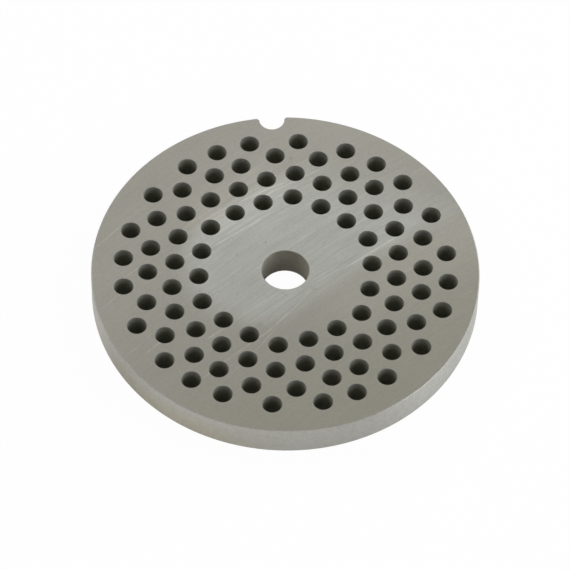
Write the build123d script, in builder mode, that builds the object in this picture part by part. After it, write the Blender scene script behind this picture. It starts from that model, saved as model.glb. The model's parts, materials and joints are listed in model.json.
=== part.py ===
from build123d import *
import os

# Meat grinder plate: a one-piece disc of hardened steel, ground flat on both faces. The
# cross knife sweeps over one face and presses the meat through 90 small drilled holes.
# The plain bore in the middle carries the worm's spindle, and the half-round notch in
# the rim drops over the locating pin of the grinder's head, so that the plate can't turn.
#
# Frame, in millimetres: the bore runs along Z through the origin, the lower face lies on
# Z = 0, and the notch is on the +Y side.

# Disc
PLATE_DIAMETER = 62.0
PLATE_THICKNESS = 5.5
RIM_CHAMFER = 0.15  # fine edge break round both faces

# Spindle bore
BORE_DIAMETER = 7.6

# Locating notch: a round cut whose centre lies just inside the rim
NOTCH_DIAMETER = 4.1
NOTCH_INSET = 0.45
NOTCH_MOUTH_CHAMFER = 0.4
NOTCH_ANGLE = 90.0

# Mincing holes: six equal sectors with 15 holes to each. A sector is the same on both
# sides of its middle line, and a hole on the seam between two sectors belongs to both.
HOLE_DIAMETER = 3.1
SECTORS = 6
OUTER_RING = 26.0  # radius of the outermost ring of hole centres
OUTER_PAIR_ANGLE = 12.4  # from a sector's middle line to its outer pair of holes

MIDDLE_RADII = (17.75, OUTER_RING)
SEAM_RADII = (14.65, 19.45, OUTER_RING)
PAIRED_HOLES = (  # radius, angle either side of the middle line
    (13.9, 10.3),
    (18.4, 15.75),
    (22.0, 6.2),
    (23.0, 21.2),
    (OUTER_RING, OUTER_PAIR_ANGLE),
)

plate_radius = PLATE_DIAMETER / 2
half_sector = 180 / SECTORS

# The notch lies midway between the outer hole on a seam and the outer pair's hole beside
# it, where the outer holes stand furthest apart. That sets how the holes are turned.
notch_to_seam = (half_sector - OUTER_PAIR_ANGLE) / 2
first_middle_line = NOTCH_ANGLE - notch_to_seam - half_sector


def sector_holes():
    """Ring radius, and angle from the middle line, of each hole in one sector."""
    holes = [(radius, 0.0) for radius in MIDDLE_RADII]
    holes += [(radius, half_sector) for radius in SEAM_RADII]
    for radius, angle in PAIRED_HOLES:
        holes += [(radius, -angle), (radius, angle)]
    return holes


with BuildPart() as grinder_plate:
    # Disc with the notch already out of its outline
    with BuildSketch():
        Circle(plate_radius)
        with Locations((0, plate_radius - NOTCH_INSET)):
            Circle(NOTCH_DIAMETER / 2, mode=Mode.SUBTRACT)
    extrude(amount=PLATE_THICKNESS)

    # The only upright edges are the two corners of the notch's mouth
    mouth_corners = grinder_plate.edges().filter_by(Axis.Z)
    chamfer(mouth_corners, NOTCH_MOUTH_CHAMFER)

    # Edge break on the rim's own arcs, both faces
    rim_arcs = [
        edge
        for edge in grinder_plate.edges().filter_by(GeomType.CIRCLE)
        if abs(edge.radius - plate_radius) < RIM_CHAMFER
    ]
    chamfer(rim_arcs, RIM_CHAMFER)

    # Spindle bore, then the mincing holes, one ring position at a time round the sectors
    Hole(BORE_DIAMETER / 2)
    for ring_radius, angle in sector_holes():
        with PolarLocations(ring_radius, SECTORS, start_angle=first_middle_line + angle):
            Hole(HOLE_DIAMETER / 2)

grinder_plate.part.label = "grinder_plate"

os.makedirs("parts", exist_ok=True)
export_step(grinder_plate.part, "parts/grinder_plate.step")
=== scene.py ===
import json
import math

import bmesh
import bpy
from mathutils import Matrix, Vector


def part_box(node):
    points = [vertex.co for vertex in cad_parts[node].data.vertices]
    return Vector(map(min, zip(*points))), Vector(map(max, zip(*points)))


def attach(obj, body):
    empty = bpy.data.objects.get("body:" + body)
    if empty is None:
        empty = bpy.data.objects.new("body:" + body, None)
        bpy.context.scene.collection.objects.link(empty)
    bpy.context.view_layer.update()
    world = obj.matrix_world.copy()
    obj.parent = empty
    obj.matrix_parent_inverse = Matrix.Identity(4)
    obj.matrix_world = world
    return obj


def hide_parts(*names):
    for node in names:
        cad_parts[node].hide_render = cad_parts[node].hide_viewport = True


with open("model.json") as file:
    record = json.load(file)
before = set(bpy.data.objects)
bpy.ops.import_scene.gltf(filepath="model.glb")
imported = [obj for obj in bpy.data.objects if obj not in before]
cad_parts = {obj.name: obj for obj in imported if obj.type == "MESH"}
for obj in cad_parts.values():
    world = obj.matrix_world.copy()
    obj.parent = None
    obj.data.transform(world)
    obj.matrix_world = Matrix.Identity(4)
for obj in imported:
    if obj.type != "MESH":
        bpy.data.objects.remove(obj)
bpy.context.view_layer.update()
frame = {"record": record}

MM = 0.001
UP = Vector((0, 0, 1))

# Main sizes, from the frame
low_corner, high_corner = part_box("grinder_plate")
PLATE_RADIUS = min(high_corner.x, -low_corner.y)
HALF_THICKNESS = high_corner.z / 2
mounts = {mount["name"]: mount for mount in frame["record"]["mounts"]}
BORE_RADIUS = mounts["spindle_bore"]["dims"]["r_mm"] * MM
NOTCH_RADIUS = mounts["locating_notch"]["dims"]["r_mm"] * MM
NOTCH_CENTRE = Vector(mounts["locating_notch"]["pos_m"])

# Edge breaks
RIM_BREAK = 0.15 * MM
BORE_BREAK = 0.08 * MM
HOLE_BREAK = 0.05 * MM
NOTCH_BREAK = 0.05 * MM
NOTCH_MOUTH_CUT = 0.4 * MM
BREAK_STEPS = 3

# Mincing holes: six equal sectors, turned so that the notch is midway between two holes.
# Angles are in degrees
HOLE_RADIUS = 1.55 * MM
NOTCH_ANGLE = 90
SECTORS = 6
HALF_SECTOR = 180 / SECTORS
OUTER_RING = 26.0
OUTER_PAIR_ANGLE = 12.4
SECTOR_HOLES = (  # ring radius in mm, angles from the sector's middle line
    (17.75, (0.0,)),
    (OUTER_RING, (0.0,)),
    (14.65, (HALF_SECTOR,)),
    (19.45, (HALF_SECTOR,)),
    (OUTER_RING, (HALF_SECTOR,)),
    (13.9, (-10.3, 10.3)),
    (18.4, (-15.75, 15.75)),
    (22.0, (-6.2, 6.2)),
    (23.0, (-21.2, 21.2)),
    (OUTER_RING, (-OUTER_PAIR_ANGLE, OUTER_PAIR_ANGLE)),
)
FIRST_MIDDLE_LINE = NOTCH_ANGLE - (HALF_SECTOR - OUTER_PAIR_ANGLE) / 2 - HALF_SECTOR

# Steps round a full turn
RIM_STEPS = 360
BORE_STEPS = 96
HOLE_STEPS = 48
NOTCH_STEPS = 48

MERGE = 1e-7
FACE, RIM, BORE, HOLE = range(4)  # material slots


# ---------------------------------------------------------------- mesh


def wall_section(radius, edge_break, outwards):
    """Upper half of a wall's section as (distance from its axis, height over the middle), top first."""
    side = -1 if outwards else 1
    points = []
    for step in range(BREAK_STEPS + 1):
        turn = math.pi / 2 * step / BREAK_STEPS
        points.append(
            (
                radius + side * edge_break * (1 - math.sin(turn)),
                HALF_THICKNESS - edge_break * (1 - math.cos(turn)),
            )
        )
    return points + [(radius, 0)]


def spin_wall(mesh, section, centre, start, sweep, steps, slot):
    """Spins a section about an upright axis, and returns its first and last edges."""
    direction = Vector((math.cos(start), math.sin(start), 0))
    base = Vector((centre[0], centre[1], 0))
    verts = [mesh.verts.new(base + direction * r + UP * z) for r, z in section]
    edges = [mesh.edges.new(pair) for pair in zip(verts, verts[1:])]
    made = bmesh.ops.spin(
        mesh, geom=verts + edges, cent=base, axis=UP, dvec=(0, 0, 0), angle=sweep,
        steps=steps, use_merge=math.isclose(sweep, 2 * math.pi), use_duplicate=False,
    )
    for face in mesh.faces:
        if not face.smooth:
            face.material_index = slot
            face.smooth = True
    last = [item for item in made["geom_last"] if isinstance(item, bmesh.types.BMEdge)]
    return edges, last


def drill(mesh, radius, edge_break, steps, slot, centres):
    """Adds the same round wall at each centre."""
    one = bmesh.new()
    spin_wall(one, wall_section(radius, edge_break, outwards=False), (0, 0), 0, 2 * math.pi, steps, slot)
    data = bpy.data.meshes.new("wall")
    for centre in centres:
        bmesh.ops.translate(one, verts=one.verts, vec=centre)
        one.to_mesh(data)
        mesh.from_mesh(data)
        bmesh.ops.translate(one, verts=one.verts, vec=-centre)
    one.free()
    bpy.data.meshes.remove(data)


def hole_centres():
    for sector in range(SECTORS):
        middle_line = FIRST_MIDDLE_LINE + sector * 360 / SECTORS
        for ring, angles in SECTOR_HOLES:
            for angle in angles:
                turn = math.radians(middle_line + angle)
                yield Vector((math.cos(turn), math.sin(turn), 0)) * ring * MM


def build_plate():
    mesh = bmesh.new()

    # Rim and notch, with a flat across each corner of the notch's mouth
    reach = NOTCH_CENTRE.y
    corner_y = (PLATE_RADIUS**2 - NOTCH_RADIUS**2 + reach**2) / (2 * reach)
    corner_x = math.sqrt(PLATE_RADIUS**2 - corner_y**2)
    rim_gap = math.atan2(corner_x, corner_y) + NOTCH_MOUTH_CUT / PLATE_RADIUS
    notch_lift = math.atan2(corner_y - reach, corner_x) - NOTCH_MOUTH_CUT / NOTCH_RADIUS
    rim_ends = spin_wall(
        mesh, wall_section(PLATE_RADIUS, RIM_BREAK, outwards=True), (0, 0),
        math.pi / 2 + rim_gap, 2 * math.pi - 2 * rim_gap, RIM_STEPS, RIM,
    )
    notch_ends = spin_wall(
        mesh, wall_section(NOTCH_RADIUS, NOTCH_BREAK, outwards=False), NOTCH_CENTRE,
        notch_lift, -(math.pi + 2 * notch_lift), NOTCH_STEPS, RIM,
    )
    for rim_edges, notch_edges in ((rim_ends[0], notch_ends[1]), (rim_ends[1], notch_ends[0])):
        strip = bmesh.ops.bridge_loops(mesh, edges=rim_edges + notch_edges)
        for face in strip["faces"]:
            face.material_index = RIM
        for edge in rim_edges + notch_edges:
            edge.smooth = False

    drill(mesh, BORE_RADIUS, BORE_BREAK, BORE_STEPS, BORE, [Vector()])
    drill(mesh, HOLE_RADIUS, HOLE_BREAK, HOLE_STEPS, HOLE, hole_centres())

    # Ground face across the tops of all the walls
    tops = [e for e in mesh.edges if all(v.co.z > HALF_THICKNESS - MERGE for v in e.verts)]
    face = bmesh.ops.triangle_fill(mesh, use_beauty=True, edges=tops, normal=UP)
    for item in face["geom"]:
        if isinstance(item, bmesh.types.BMFace):
            item.material_index = FACE
            item.smooth = False
    for edge in tops:
        edge.smooth = False

    # Lower half as a mirror image
    everything = mesh.verts[:] + mesh.edges[:] + mesh.faces[:]
    bmesh.ops.mirror(mesh, geom=everything, matrix=Matrix(), merge_dist=MERGE, axis="Z")
    bmesh.ops.translate(mesh, verts=mesh.verts, vec=UP * HALF_THICKNESS)
    bmesh.ops.recalc_face_normals(mesh, faces=mesh.faces)
    return add_piece(mesh, "ground_plate")


def add_piece(mesh, name):
    """Turns a bmesh into an object of the scene."""
    data = bpy.data.meshes.new(name)
    mesh.to_mesh(data)
    mesh.free()
    piece = bpy.data.objects.new(name, data)
    bpy.context.scene.collection.objects.link(piece)
    return piece


# ---------------------------------------------------------------- materials


class Signal:
    """A shader socket that Python's operators can work on."""

    def __init__(self, recipe, socket):
        self.recipe = recipe
        self.socket = socket

    def beside(self, output):
        """Another output of the node that this one comes from."""
        return Signal(self.recipe, self.socket.node.outputs[output])

    def math(self, operation, *values):
        return self.recipe.node("ShaderNodeMath", {"operation": operation}, dict(enumerate(values)))

    def __add__(self, other):
        return self.math("ADD", self, other)

    def __radd__(self, other):
        return self.math("ADD", other, self)

    def __sub__(self, other):
        return self.math("SUBTRACT", self, other)

    def __rsub__(self, other):
        return self.math("SUBTRACT", other, self)

    def __mul__(self, other):
        return self.math("MULTIPLY", self, other)

    def __rmul__(self, other):
        return self.math("MULTIPLY", other, self)

    def __truediv__(self, other):
        return self.math("DIVIDE", self, other)

    def __pow__(self, power):
        return self.math("POWER", self, power)

    def abs(self):
        return self.math("ABSOLUTE", self)

    def smooth_step(self, start, end):
        """0 at start, 1 at end, with a soft turn at both."""
        return self.recipe.node(
            "ShaderNodeMapRange",
            {"interpolation_type": "SMOOTHSTEP"},
            {"Value": self, "From Min": start, "From Max": end},
        )


class Recipe:
    """A material's node tree."""

    def __init__(self, name):
        self.material = bpy.data.materials.new(name)
        self.material.use_nodes = True
        self.tree = self.material.node_tree
        self.tree.nodes.clear()

    def node(self, kind, settings, inputs, output=0):
        """Adds a node: its settings first, then its sockets' values or links."""
        made = self.tree.nodes.new(kind)
        for name, value in settings.items():
            setattr(made, name, value)
        for name, value in inputs.items():
            if isinstance(value, Signal):
                self.tree.links.new(value.socket, made.inputs[name])
            else:
                made.inputs[name].default_value = value
        return Signal(self, made.outputs[output])

    def place(self):
        """Object coordinates in millimetres, as x, y and z."""
        coordinates = self.node("ShaderNodeTexCoord", {}, {}, "Object")
        x = self.node("ShaderNodeSeparateXYZ", {}, {0: coordinates}, "X")
        return [axis * (1 / MM) for axis in (x, x.beside("Y"), x.beside("Z"))]

    def vector(self, x, y, z):
        return self.node("ShaderNodeCombineXYZ", {}, {0: x, 1: y, 2: z})

    def vector_math(self, operation, inputs):
        return self.node("ShaderNodeVectorMath", {"operation": operation}, inputs)

    def noise(self, place, grains=1.0, detail=2.0):
        """Noise about 0, roughly from -1 to 1."""
        value = self.node(
            "ShaderNodeTexNoise",
            {"noise_dimensions": "3D"},
            {"Vector": place, "Scale": grains, "Detail": detail},
            "Fac",
        )
        return (value - 0.5) * 2

    def turn_round(self, x, y):
        """Angle of a place round the origin."""
        return self.node("ShaderNodeMath", {"operation": "ARCTAN2"}, {0: y, 1: x})

    def blend(self, first, second, share):
        """A colour between two, by the second one's share."""
        change = self.vector_math("SUBTRACT", {0: second, 1: first})
        return self.vector_math("MULTIPLY_ADD", {0: change, 1: share, 2: first})

    def tint(self, colour, shade):
        """The colour times a shade near 1."""
        return self.vector_math("SCALE", {0: colour, "Scale": shade})

    def leaning(self, lean):
        """The surface's normal, leant over by a small vector."""
        normal = self.node("ShaderNodeNewGeometry", {}, {}, "Normal")
        leant = self.vector_math("ADD", {0: normal, 1: lean})
        return self.vector_math("NORMALIZE", {0: leant})

    def steel(self, inputs):
        """Finishes the material as bare steel."""
        return self.finish(self.node("ShaderNodeBsdfPrincipled", {}, {"Metallic": 1.0, **inputs}))

    def finish(self, shader):
        out = self.tree.nodes.new("ShaderNodeOutputMaterial")
        self.tree.links.new(shader.socket, out.inputs["Surface"])
        return self.material


# ---------------------------------------------------------------- ground faces

FACE_COLOUR = (0.45, 0.44, 0.39)
FACE_ROUGHNESS = 0.36
UPPER_SIDE = (HALF_THICKNESS / MM, high_corner.z / MM)  # heights in mm

# Uneven tone of the steel: grains per mm, their detail, how far they shade it
FACE_GRAIN = ((0.12, 3.0, 0.025), (5.0, 1.0, 0.09), (1.8, 1.0, 0.05))

# Yellower film towards the front of the upper face
FILM_COLOUR = (0.452, 0.442, 0.374)
FILM_EDGE = (-8.0, 34.0)  # mm towards the front
FILM_SLANT = 0.5  # mm that its edge moves for each mm to the right

# Grinding: the wheel's arcs are centred far outside the plate
GRINDING_CENTRE = Vector((115.9, -156.5, 0.0))  # mm

# Ground lines: seed, width and length in mm, how far they shade the steel, how far they tilt it
GROUND_LINES = (
    (1.0, 2.2, 60.0, 0.02, 0.0),
    (5.0, 0.6, 30.0, 0.04, 0.004),
    (9.0, 0.20, 11.0, 0.10, 0.015),
    (13.0, 0.10, 5.0, 0.15, 0.04),
)

# Single deeper lines: seed, width and length in mm, how far they brighten the steel
BRIGHT_LINES = (
    (21.0, 0.15, 9.0, 0.12),
    (27.0, 0.11, 5.0, 0.12),
)
BRIGHT_LINE_HEIGHT = (0.28, 0.55)  # how far a line stands out before it shines
FACES_APART = 3.7  # change of seed for each mm of height, so that each face has its own lines
LINES_EVERYWHERE = 0.4
LINES_IN_PATCH = 0.7
LINES_IN_CREST = 0.7

# Painted sheen: a patch painted brighter and cooler in tone, in mm across and along the arcs
SHEEN_PATCH_COLOUR = (0.56, 0.562, 0.527)
PATCH_INSIDE = (185.5, 190.0)
PATCH_OUTSIDE = (212.0, 208.0)
PATCH_MIDDLE = 198.5
PATCH_LEFT_END = (17.0, 10.5)
PATCH_LEFT_BULGE = 0.045
PATCH_RIGHT_END = (-38.0, -19.0)
PATCH_RIGHT_SLANT = 0.82

# Painted highlight: the brightest strip along the patch's outer side
CREST_INSIDE = (204.5, 210.0)
CREST_OUTSIDE = (216.5, 212.0)
CREST_LEFT_END = (9.0, 2.0)
CREST_RIGHT_END = (-14.0, -7.0)
SHEEN_CREST_LIFT = 0.14

# Painted sheen in a soft skirt inside the patch, and painted shade outside it
SKIRT_INSIDE = (173.0, 184.0)
SKIRT_OUTSIDE = (190.0, 184.0)
SKIRT_LEFT_END = (7.0, -6.0)
SHEEN_SKIRT_LIFT = 0.11
PAINTED_SHADE_INSIDE = (213.0, 225.0)
PAINTED_SHADE_DROP = 0.08

# Scratches on the upper face: start and end in mm, bow and width in mm, how far they brighten it
SCRATCHES = (
    (-30.4, 5.9, -25.4, 10.7, 0.0, 0.15, 0.17),
    (-26.0, 10.2, -13.6, 20.4, 0.4, 0.11, 0.08),
    (-30.0, -6.2, -26.6, -3.0, 0.0, 0.2, 0.14),
    (-26.2, -0.3, -22.9, 2.2, 0.0, 0.15, 0.18),
    (-23.2, -14.9, -19.8, -12.0, 0.0, 0.17, 0.24),
    (-25.8, -14.7, -23.8, -13.1, 0.0, 0.2, 0.08),
    (-15.8, -21.2, -2.4, -10.9, 0.2, 0.15, 0.2),
    (-5.2, -13.1, 0.2, -7.9, -0.2, 0.14, 0.22),
    (-1.0, -9.4, 4.2, -3.4, -0.15, 0.12, 0.13),
    (-11.0, -20.4, -1.6, -10.3, -0.3, 0.13, 0.19),
    (-13.6, -12.8, -8.6, -9.6, 0.0, 0.21, 0.24),
    (-9.0, -9.6, -1.2, -4.2, 0.1, 0.14, 0.14),
    (-7.2, -10.7, -1.0, -6.1, 0.1, 0.13, 0.14),
    (-8.3, -9.2, 2.4, -3.6, 0.4, 0.11, 0.12),
    (-12.2, -4.0, -8.6, -1.6, 0.0, 0.12, 0.12),
    (9.0, -0.6, 19.6, 6.3, 0.0, 0.16, 0.24),
    (3.4, -3.4, 12.0, 1.3, 0.1, 0.13, 0.14),
    (3.2, -3.0, 9.0, 0.7, 0.1, 0.11, 0.11),
    (7.6, 1.9, 13.0, 5.2, 0.0, 0.11, 0.12),
    (18.6, -1.8, 20.4, -0.7, 0.0, 0.14, 0.17),
    (26.8, -7.3, 29.9, -5.7, 0.0, 0.14, 0.1),
    (22.0, 17.9, 24.4, 19.5, 0.0, 0.16, 0.14),
    (24.3, 5.1, 26.6, 6.2, 0.0, 0.13, 0.1),
    (12.2, 11.7, 15.0, 13.4, 0.0, 0.12, 0.12),
    (13.2, 7.5, 15.4, 8.9, 0.0, 0.12, 0.12),
    (-12.4, 4.6, -2.4, 10.8, 0.0, 0.2, 0.17),
    (-7.6, 7.6, -0.6, 12.1, 0.1, 0.11, 0.14),
    (-9.2, 7.4, -2.4, 12.2, 0.1, 0.11, 0.17),
    (-12.9, 10.2, -7.6, 13.6, 0.1, 0.14, 0.17),
    (-7.0, 13.6, 2.0, 17.8, 0.2, 0.17, 0.22),
    (-4.6, 13.6, 8.2, 20.3, 0.2, 0.14, 0.2),
    (-0.8, 14.2, 6.6, 18.5, 0.1, 0.13, 0.19),
    (2.2, 20.5, 5.4, 22.0, 0.0, 0.14, 0.14),
    (8.4, 15.3, 10.8, 16.7, 0.0, 0.13, 0.12),
    (-16.2, 3.3, -13.2, 4.9, 0.0, 0.13, 0.14),
)
SCRATCH_FADE = 0.2  # share of its length over which a scratch fades at each end
SCRATCH_LEAST = 0.6  # brightness that is left where a scratch is worn
SCRATCH_GAIN = 0.6  # brightness added where it isn't
WORN_GRAINS = 0.7  # per mm
WORN_EDGE = (-0.3, 0.25)

# Small dents in the upper face, painted as shade: place and radius in mm, how far they darken it
SHADED_DENTS = (
    (-2.75, 5.65, 0.32, 0.16),
    (-7.5, 3.5, 0.36, 0.09),
    (2.5, 22.4, 0.45, 0.14),
    (4.35, -4.1, 0.34, 0.12),
    (-0.5, -4.75, 0.42, 0.11),
    (-14.0, -3.25, 0.32, 0.12),
    (-27.5, -4.6, 0.34, 0.08),
    (6.6, 4.9, 0.38, 0.07),
    (-5.0, -10.6, 0.90, 0.07),
)


def arc_place(recipe, x, y):
    """Place on the grinding arcs: mm out from their centre, mm along them, and the way outwards."""
    dx = x - GRINDING_CENTRE.x
    dy = y - GRINDING_CENTRE.y
    across = (dx * dx + dy * dy) ** 0.5
    middle = math.atan2(-GRINDING_CENTRE.y, -GRINDING_CENTRE.x)
    along = (recipe.turn_round(dx, dy) - middle) * GRINDING_CENTRE.length
    return across, along, (dx / across, dy / across)


def sheen_and_shade_masks(across, along):
    """Masks of the painted sheen patch, of its painted highlight crest, of the soft skirt of painted
    sheen inside it and of the painted shade outside.
    """
    off_middle = across - PATCH_MIDDLE
    left = along + off_middle * off_middle * PATCH_LEFT_BULGE
    right = along - (across - PATCH_INSIDE[1]) * PATCH_RIGHT_SLANT
    sheen_patch = (
        across.smooth_step(*PATCH_INSIDE) * across.smooth_step(*PATCH_OUTSIDE)
        * left.smooth_step(*PATCH_LEFT_END) * right.smooth_step(*PATCH_RIGHT_END)
    )
    sheen_crest = (
        across.smooth_step(*CREST_INSIDE) * across.smooth_step(*CREST_OUTSIDE)
        * along.smooth_step(*CREST_LEFT_END) * along.smooth_step(*CREST_RIGHT_END)
    )
    sheen_skirt = (
        across.smooth_step(*SKIRT_INSIDE) * across.smooth_step(*SKIRT_OUTSIDE)
        * along.smooth_step(*SKIRT_LEFT_END)
    )
    return sheen_patch, sheen_crest, sheen_skirt, across.smooth_step(*PAINTED_SHADE_INSIDE)


def scratch(x, y, start_x, start_y, end_x, end_y, bow, width, brightness):
    """Brightness that one scratch adds, bowed to the left of its way by a positive bow."""
    length = math.hypot(end_x - start_x, end_y - start_y)
    way_x, way_y = (end_x - start_x) / length, (end_y - start_y) / length
    dx, dy = x - start_x, y - start_y
    run = dx * way_x + dy * way_y
    bowed = run * (length - run) * (4 * bow / length**2)
    beside = (dy * way_x - dx * way_y - bowed).abs()
    fade = length * SCRATCH_FADE
    ends = run.smooth_step(0, fade) * run.smooth_step(length, length - fade)
    return beside.smooth_step(width, width / 3) * ends * brightness


def dent_shade(x, y, centre_x, centre_y, radius, darkness):
    """Painted shade that one dent takes from the brightness, as a negative number."""
    dx, dy = x - centre_x, y - centre_y
    return (dx * dx + dy * dy).smooth_step(radius**2, 0) * -darkness


def ground_face():
    recipe = Recipe("ground_face")
    x, y, z = recipe.place()
    place = recipe.vector(x, y, z)
    across, along, (out_x, out_y) = arc_place(recipe, x, y)
    upper_side = z.smooth_step(*UPPER_SIDE)
    sheen_patch, sheen_crest, sheen_skirt, painted_shade = sheen_and_shade_masks(across, along)

    shade = 1.0
    for grains, detail, shading in FACE_GRAIN:
        shade = recipe.noise(place, grains, detail) * shading + shade

    # Grinding lines
    def arc_lines(seed, width, length):
        return recipe.noise(recipe.vector(across / width, along / length, z * FACES_APART + seed))

    tilt = 0.0
    strength = LINES_EVERYWHERE + sheen_patch * LINES_IN_PATCH + sheen_crest * LINES_IN_CREST
    for seed, width, length, shading, tilting in GROUND_LINES:
        lines = arc_lines(seed, width, length) * strength
        shade = shade + lines * shading
        tilt = lines * tilting + tilt
    for seed, width, length, brightness in BRIGHT_LINES:
        lines = arc_lines(seed, width, length).smooth_step(*BRIGHT_LINE_HEIGHT)
        shade = shade + lines * strength * brightness

    # Marks of the upper face, with its painted sheen and painted shade
    scratches = 0.0
    for row in SCRATCHES:
        scratches = scratch(x, y, *row) + scratches
    whole = recipe.noise(place, WORN_GRAINS).smooth_step(*WORN_EDGE)
    scratches = scratches * (SCRATCH_LEAST + whole * SCRATCH_GAIN)
    # Painted highlight of the crest, painted sheen of the skirt, painted shade outside the patch, and
    # the scratches
    marks_sheen_and_shade = sheen_crest * SHEEN_CREST_LIFT + sheen_skirt * SHEEN_SKIRT_LIFT - painted_shade * PAINTED_SHADE_DROP + scratches
    # Painted shade of the dents
    for row in SHADED_DENTS:
        marks_sheen_and_shade = marks_sheen_and_shade + dent_shade(x, y, *row)
    shade = shade + marks_sheen_and_shade * upper_side

    film = (x * FILM_SLANT - y).smooth_step(*FILM_EDGE) * upper_side
    colour = recipe.blend(FACE_COLOUR, FILM_COLOUR, film)
    # Painted sheen: the patch's brighter colour
    colour = recipe.blend(colour, SHEEN_PATCH_COLOUR, sheen_patch * upper_side)
    lean = recipe.vector(out_x * tilt, out_y * tilt, 0.0)
    return recipe.steel(
        {
            "Base Color": recipe.tint(colour, shade),
            "Roughness": FACE_ROUGHNESS,
            "Normal": recipe.leaning(lean),
        }
    )


# ---------------------------------------------------------------- rim

RIM_COLOUR = (0.41, 0.405, 0.375)
RIM_ROUGHNESS = 0.5
RIM_ROUGHNESS_CHANGE = 0.05
RIM_DRAWN_OUT = 0.7  # how far the gloss is drawn out
DRAWN_UPWARDS = 0.25  # share of a turn
# Painted shade towards the rim's lower edge and painted light towards its upper one
FOOT_SHADE_TONE = 0.94
PAINTED_LIGHT_RISE = 0.14  # from the lower edge to the upper one

# Turning lines
TURNING_LINE_LENGTH = 12.0  # mm
TURNING_LINE_WIDTH = 0.16
TURNING_SEED = 2.0
TURNING_SHADE = 0.04

# Mottle and speckle: grains per mm, their detail, how far they shade the rim
MOTTLE_GRAINS, MOTTLE_DETAIL, MOTTLE_SHADE = 1.0, 3.0, 0.15
SPECKLE_GRAINS, SPECKLE_DETAIL, SPECKLE_SHADE = 3.2, 1.0, 0.20

# Painted light and painted shade along lengths of the rim: place and reach in mm along it, how far they
# brighten it
PAINTED_LIGHT_AND_SHADE_LENGTHS = (
    (-81.0, 11.0, -0.12),
    (-66.0, 17.0, 0.13),
    (-13.0, 14.0, -0.10),
)

# Stain, which fades upwards. Heights are shares of the thickness
STAIN_COLOUR = (0.385, 0.36, 0.295)
STAIN_PLACE = -72.0  # mm along the rim
STAIN_REACH = (24.0, 6.0)  # mm either side of it
STAIN_HEIGHT = (1.0, 0.2)
STAIN_AT_TOP = 0.1

# Dark spots, most of them in the stain
SPOT_EDGE = (0.05, 0.4)
SPOT_HEIGHT = (0.6, 0.1)
SPOTS_OUTSIDE_STAIN = 0.3
SPOT_DARKNESS = 0.3

# Painted highlight along both edges, which turns to painted shade at the plate's left and right
EDGE_HIGHLIGHT_BAND = (0.93, 1.0)
EDGE_HIGHLIGHT_LIFT = 0.06
EDGE_SIDE_SHADE = 0.16
EDGE_SIDE_SHADE_PLACE = (14.0, 28.0)  # mm left and right of the middle


def turned_rim():
    recipe = Recipe("turned_rim")
    x, y, z = recipe.place()
    place = recipe.vector(x, y, z)
    along = recipe.turn_round(x, y) * (PLATE_RADIUS / MM)
    height = z / (high_corner.z / MM)
    line_place = recipe.vector(along / TURNING_LINE_LENGTH, z / TURNING_LINE_WIDTH, TURNING_SEED)
    lines = recipe.noise(line_place)
    mottle = recipe.noise(place, MOTTLE_GRAINS, MOTTLE_DETAIL)
    speckle = recipe.noise(place, SPECKLE_GRAINS, SPECKLE_DETAIL)

    stain = (along - STAIN_PLACE).abs().smooth_step(*STAIN_REACH)
    stain = stain * (STAIN_AT_TOP + height.smooth_step(*STAIN_HEIGHT) * (1 - STAIN_AT_TOP))
    spots = speckle.smooth_step(*SPOT_EDGE) * height.smooth_step(*SPOT_HEIGHT)
    spots = spots * (SPOTS_OUTSIDE_STAIN + stain * (1 - SPOTS_OUTSIDE_STAIN))
    # Painted highlight on the edges, and painted shade on them at the left and right
    edge_highlight = ((height - 0.5) * 2).abs().smooth_step(*EDGE_HIGHLIGHT_BAND)
    edge_highlight = edge_highlight * (EDGE_HIGHLIGHT_LIFT - x.abs().smooth_step(*EDGE_SIDE_SHADE_PLACE) * EDGE_SIDE_SHADE)

    # Painted shade at the foot rising to painted light at the top
    shade = FOOT_SHADE_TONE + height * PAINTED_LIGHT_RISE + edge_highlight - spots * SPOT_DARKNESS
    shade = shade + lines * TURNING_SHADE + mottle * MOTTLE_SHADE + speckle * SPECKLE_SHADE
    # Painted light and painted shade along the rim
    for middle, reach, brightness in PAINTED_LIGHT_AND_SHADE_LENGTHS:
        shade = shade + (along - middle).abs().smooth_step(reach, 0) * brightness
    return recipe.steel(
        {
            "Base Color": recipe.tint(recipe.blend(RIM_COLOUR, STAIN_COLOUR, stain), shade),
            "Roughness": RIM_ROUGHNESS + (lines + mottle) * RIM_ROUGHNESS_CHANGE,
            "Anisotropic": RIM_DRAWN_OUT,
            "Anisotropic Rotation": DRAWN_UPWARDS,
        }
    )


# ---------------------------------------------------------------- bore and holes

# Walls: name, colour at their ends and halfway down, where a darker colour is painted shade, roughness,
# how far their gloss is drawn out, how far painted light brightens them to the right
WALLS = (
    ("reamed_bore", (0.37, 0.36, 0.31), (0.37, 0.36, 0.31), 0.6, 0.6, 0.25),
    ("drilled_hole", (0.41, 0.41, 0.385), (0.345, 0.348, 0.275), 0.95, 0.0, 0.0),
)
WALL_SHADE_DEPTH = (0.2, 2.0)  # mm from the nearer face
PAINTED_LIGHT_SIDE = (-1.0, BORE_RADIUS / MM)  # mm to the right of the middle

# Rings that the tool left
RING_LENGTH = 0.8  # mm
RING_WIDTH = 0.3
RING_SHADE = 0.25

# Flecks of burr close to the faces, painted bright as glints
FLECK_GRAINS = 1.7  # per mm
FLECK_EDGE = (0.5, 0.65)
FLECK_DEPTH = (0.9, 0.3)  # mm from the nearer face
BURR_GLINT_LIFT = 1.5


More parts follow.
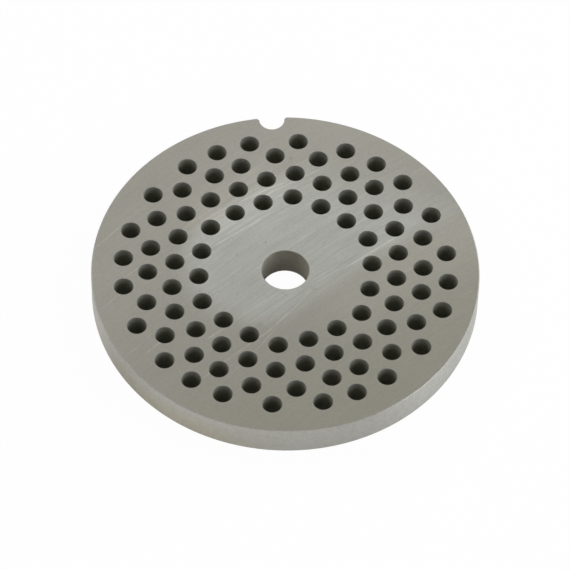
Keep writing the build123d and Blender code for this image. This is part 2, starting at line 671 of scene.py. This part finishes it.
def cut_wall(name, end_colour, shaded_middle_colour, roughness, drawn_out, painted_light_lift):
    recipe = Recipe(name)
    x, y, z = recipe.place()
    middle = HALF_THICKNESS / MM
    depth = middle - (z - middle).abs()
    rings = recipe.noise(recipe.vector(x / RING_LENGTH, y / RING_LENGTH, z / RING_WIDTH))
    # Painted glints on flecks of burr
    burr_glints = recipe.noise(recipe.vector(x, y, z), FLECK_GRAINS, detail=1.0).smooth_step(*FLECK_EDGE)
    shade = 1 + rings * RING_SHADE + burr_glints * depth.smooth_step(*FLECK_DEPTH) * BURR_GLINT_LIFT
    # Painted light on the right side of the wall
    shade = shade + x.smooth_step(*PAINTED_LIGHT_SIDE) * painted_light_lift
    # Painted shade: the colour goes darker halfway down the wall
    colour = recipe.blend(end_colour, shaded_middle_colour, depth.smooth_step(*WALL_SHADE_DEPTH))
    return recipe.steel(
        {
            "Base Color": recipe.tint(colour, shade),
            "Roughness": roughness,
            "Anisotropic": drawn_out,
            "Anisotropic Rotation": DRAWN_UPWARDS,
        }
    )


# ---------------------------------------------------------------- stage

CAMERA_AIM = Vector((-0.298, -2.967, 5.5)) * MM
CAMERA_DISTANCE = 0.6569
CAMERA_AZIMUTH = math.radians(-5.363)
CAMERA_ELEVATION = math.radians(54.162)
CAMERA_ROLL = math.radians(1.413)
LENS_MM = 260.7
SENSOR_MM = 36.0

FLOOR_RADIUS = 20.0
FLOOR_STEPS = 64
FLOOR_COLOUR = (0.85, 0.85, 0.85, 1)
FLOOR_WHITENESS = 0.97  # share of plain white where the floor is seen; the rest keeps the shadow
FLOOR_MIRROR_EDGE = 1.0  # mm under the plate over which its reflection goes
WHITE = (1, 1, 1, 1)

WORLD_COLOUR = (1.0, 0.99, 0.97, 1)
WORLD_BRIGHTNESS = 0.23
SOFTBOXES = (  # name, place, width and height in metres, brightness, colour
    ("back_softbox", (0.08, 0.42, 0.37), (0.70, 0.14), 1.35, (1.0, 1.0, 1.0)),
    ("top_softbox", (0.0, -0.05, 0.70), (0.40, 0.30), 1.4, (1.0, 1.0, 1.0)),
    ("left_softbox", (-0.50, 0.28, 0.56), (0.90, 0.45), 1.9, (1.0, 0.99, 0.94)),
    ("front_softbox", (0.0, -0.76, 0.25), (0.55, 0.35), 1.0, (1.0, 0.99, 0.91)),
    ("right_softbox", (0.72, 0.03, 0.34), (1.40, 0.70), 2.1, (0.98, 1.0, 1.03)),
)


def set_camera():
    lens = bpy.data.cameras.new("camera")
    lens.lens = LENS_MM
    lens.sensor_width = SENSOR_MM
    lens.clip_end = 2 * FLOOR_RADIUS
    camera = bpy.data.objects.new("camera", lens)
    camera.matrix_world = (
        Matrix.Translation(CAMERA_AIM)
        @ Matrix.Rotation(CAMERA_AZIMUTH, 4, "Z")
        @ Matrix.Rotation(math.pi / 2 - CAMERA_ELEVATION, 4, "X")
        @ Matrix.Rotation(CAMERA_ROLL, 4, "Z")
        @ Matrix.Translation((0, 0, CAMERA_DISTANCE))
    )
    bpy.context.scene.collection.objects.link(camera)
    bpy.context.scene.camera = camera


def hang_softbox(name, place, size, brightness, colour):
    """Hangs a softbox that faces the plate."""
    data = bpy.data.lights.new(name, "AREA")
    data.shape = "RECTANGLE"
    data.size, data.size_y = size
    data.energy = brightness * math.pi * size[0] * size[1]
    data.color = colour
    light = bpy.data.objects.new(name, data)
    light.location = place
    light.rotation_euler = (-Vector(place)).to_track_quat("-Z", "Y").to_euler()
    bpy.context.scene.collection.objects.link(light)


def build_floor():
    mesh = bmesh.new()
    bmesh.ops.create_circle(mesh, cap_ends=True, segments=FLOOR_STEPS, radius=FLOOR_RADIUS)
    floor = add_piece(mesh, "floor")

    # White where the camera and the steel's reflections see it, matt grey under the lights
    recipe = Recipe("white_floor")
    seen = recipe.node("ShaderNodeLightPath", {}, {}, "Is Camera Ray")
    mirrored = seen.beside("Is Glossy Ray") + seen.beside("Is Transmission Ray")
    x, y, z = recipe.place()
    from_middle = (x * x + y * y) ** 0.5
    rim_place = PLATE_RADIUS / MM
    in_the_open = from_middle.smooth_step(rim_place - FLOOR_MIRROR_EDGE, rim_place)
    whiteness = seen.math("MAXIMUM", seen, mirrored * in_the_open) * FLOOR_WHITENESS
    matt = recipe.node("ShaderNodeBsdfDiffuse", {}, {"Color": FLOOR_COLOUR})
    white = recipe.node("ShaderNodeEmission", {}, {"Color": WHITE, "Strength": 1.0})
    mixed = recipe.node("ShaderNodeMixShader", {}, {0: whiteness, 1: matt, 2: white})
    floor.data.materials.append(recipe.finish(mixed))


def set_world():
    world = bpy.data.worlds.new("studio")
    world.use_nodes = True
    background = world.node_tree.nodes["Background"]
    background.inputs["Color"].default_value = WORLD_COLOUR
    background.inputs["Strength"].default_value = WORLD_BRIGHTNESS
    bpy.context.scene.world = world


plate = build_plate()
plate.data.materials.append(ground_face())
plate.data.materials.append(turned_rim())
for wall in WALLS:
    plate.data.materials.append(cut_wall(*wall))
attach(plate, "root")
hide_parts("grinder_plate")

build_floor()
set_world()
for box in SOFTBOXES:
    hang_softbox(*box)
set_camera()

bpy.context.scene.view_settings.view_transform = "Standard"
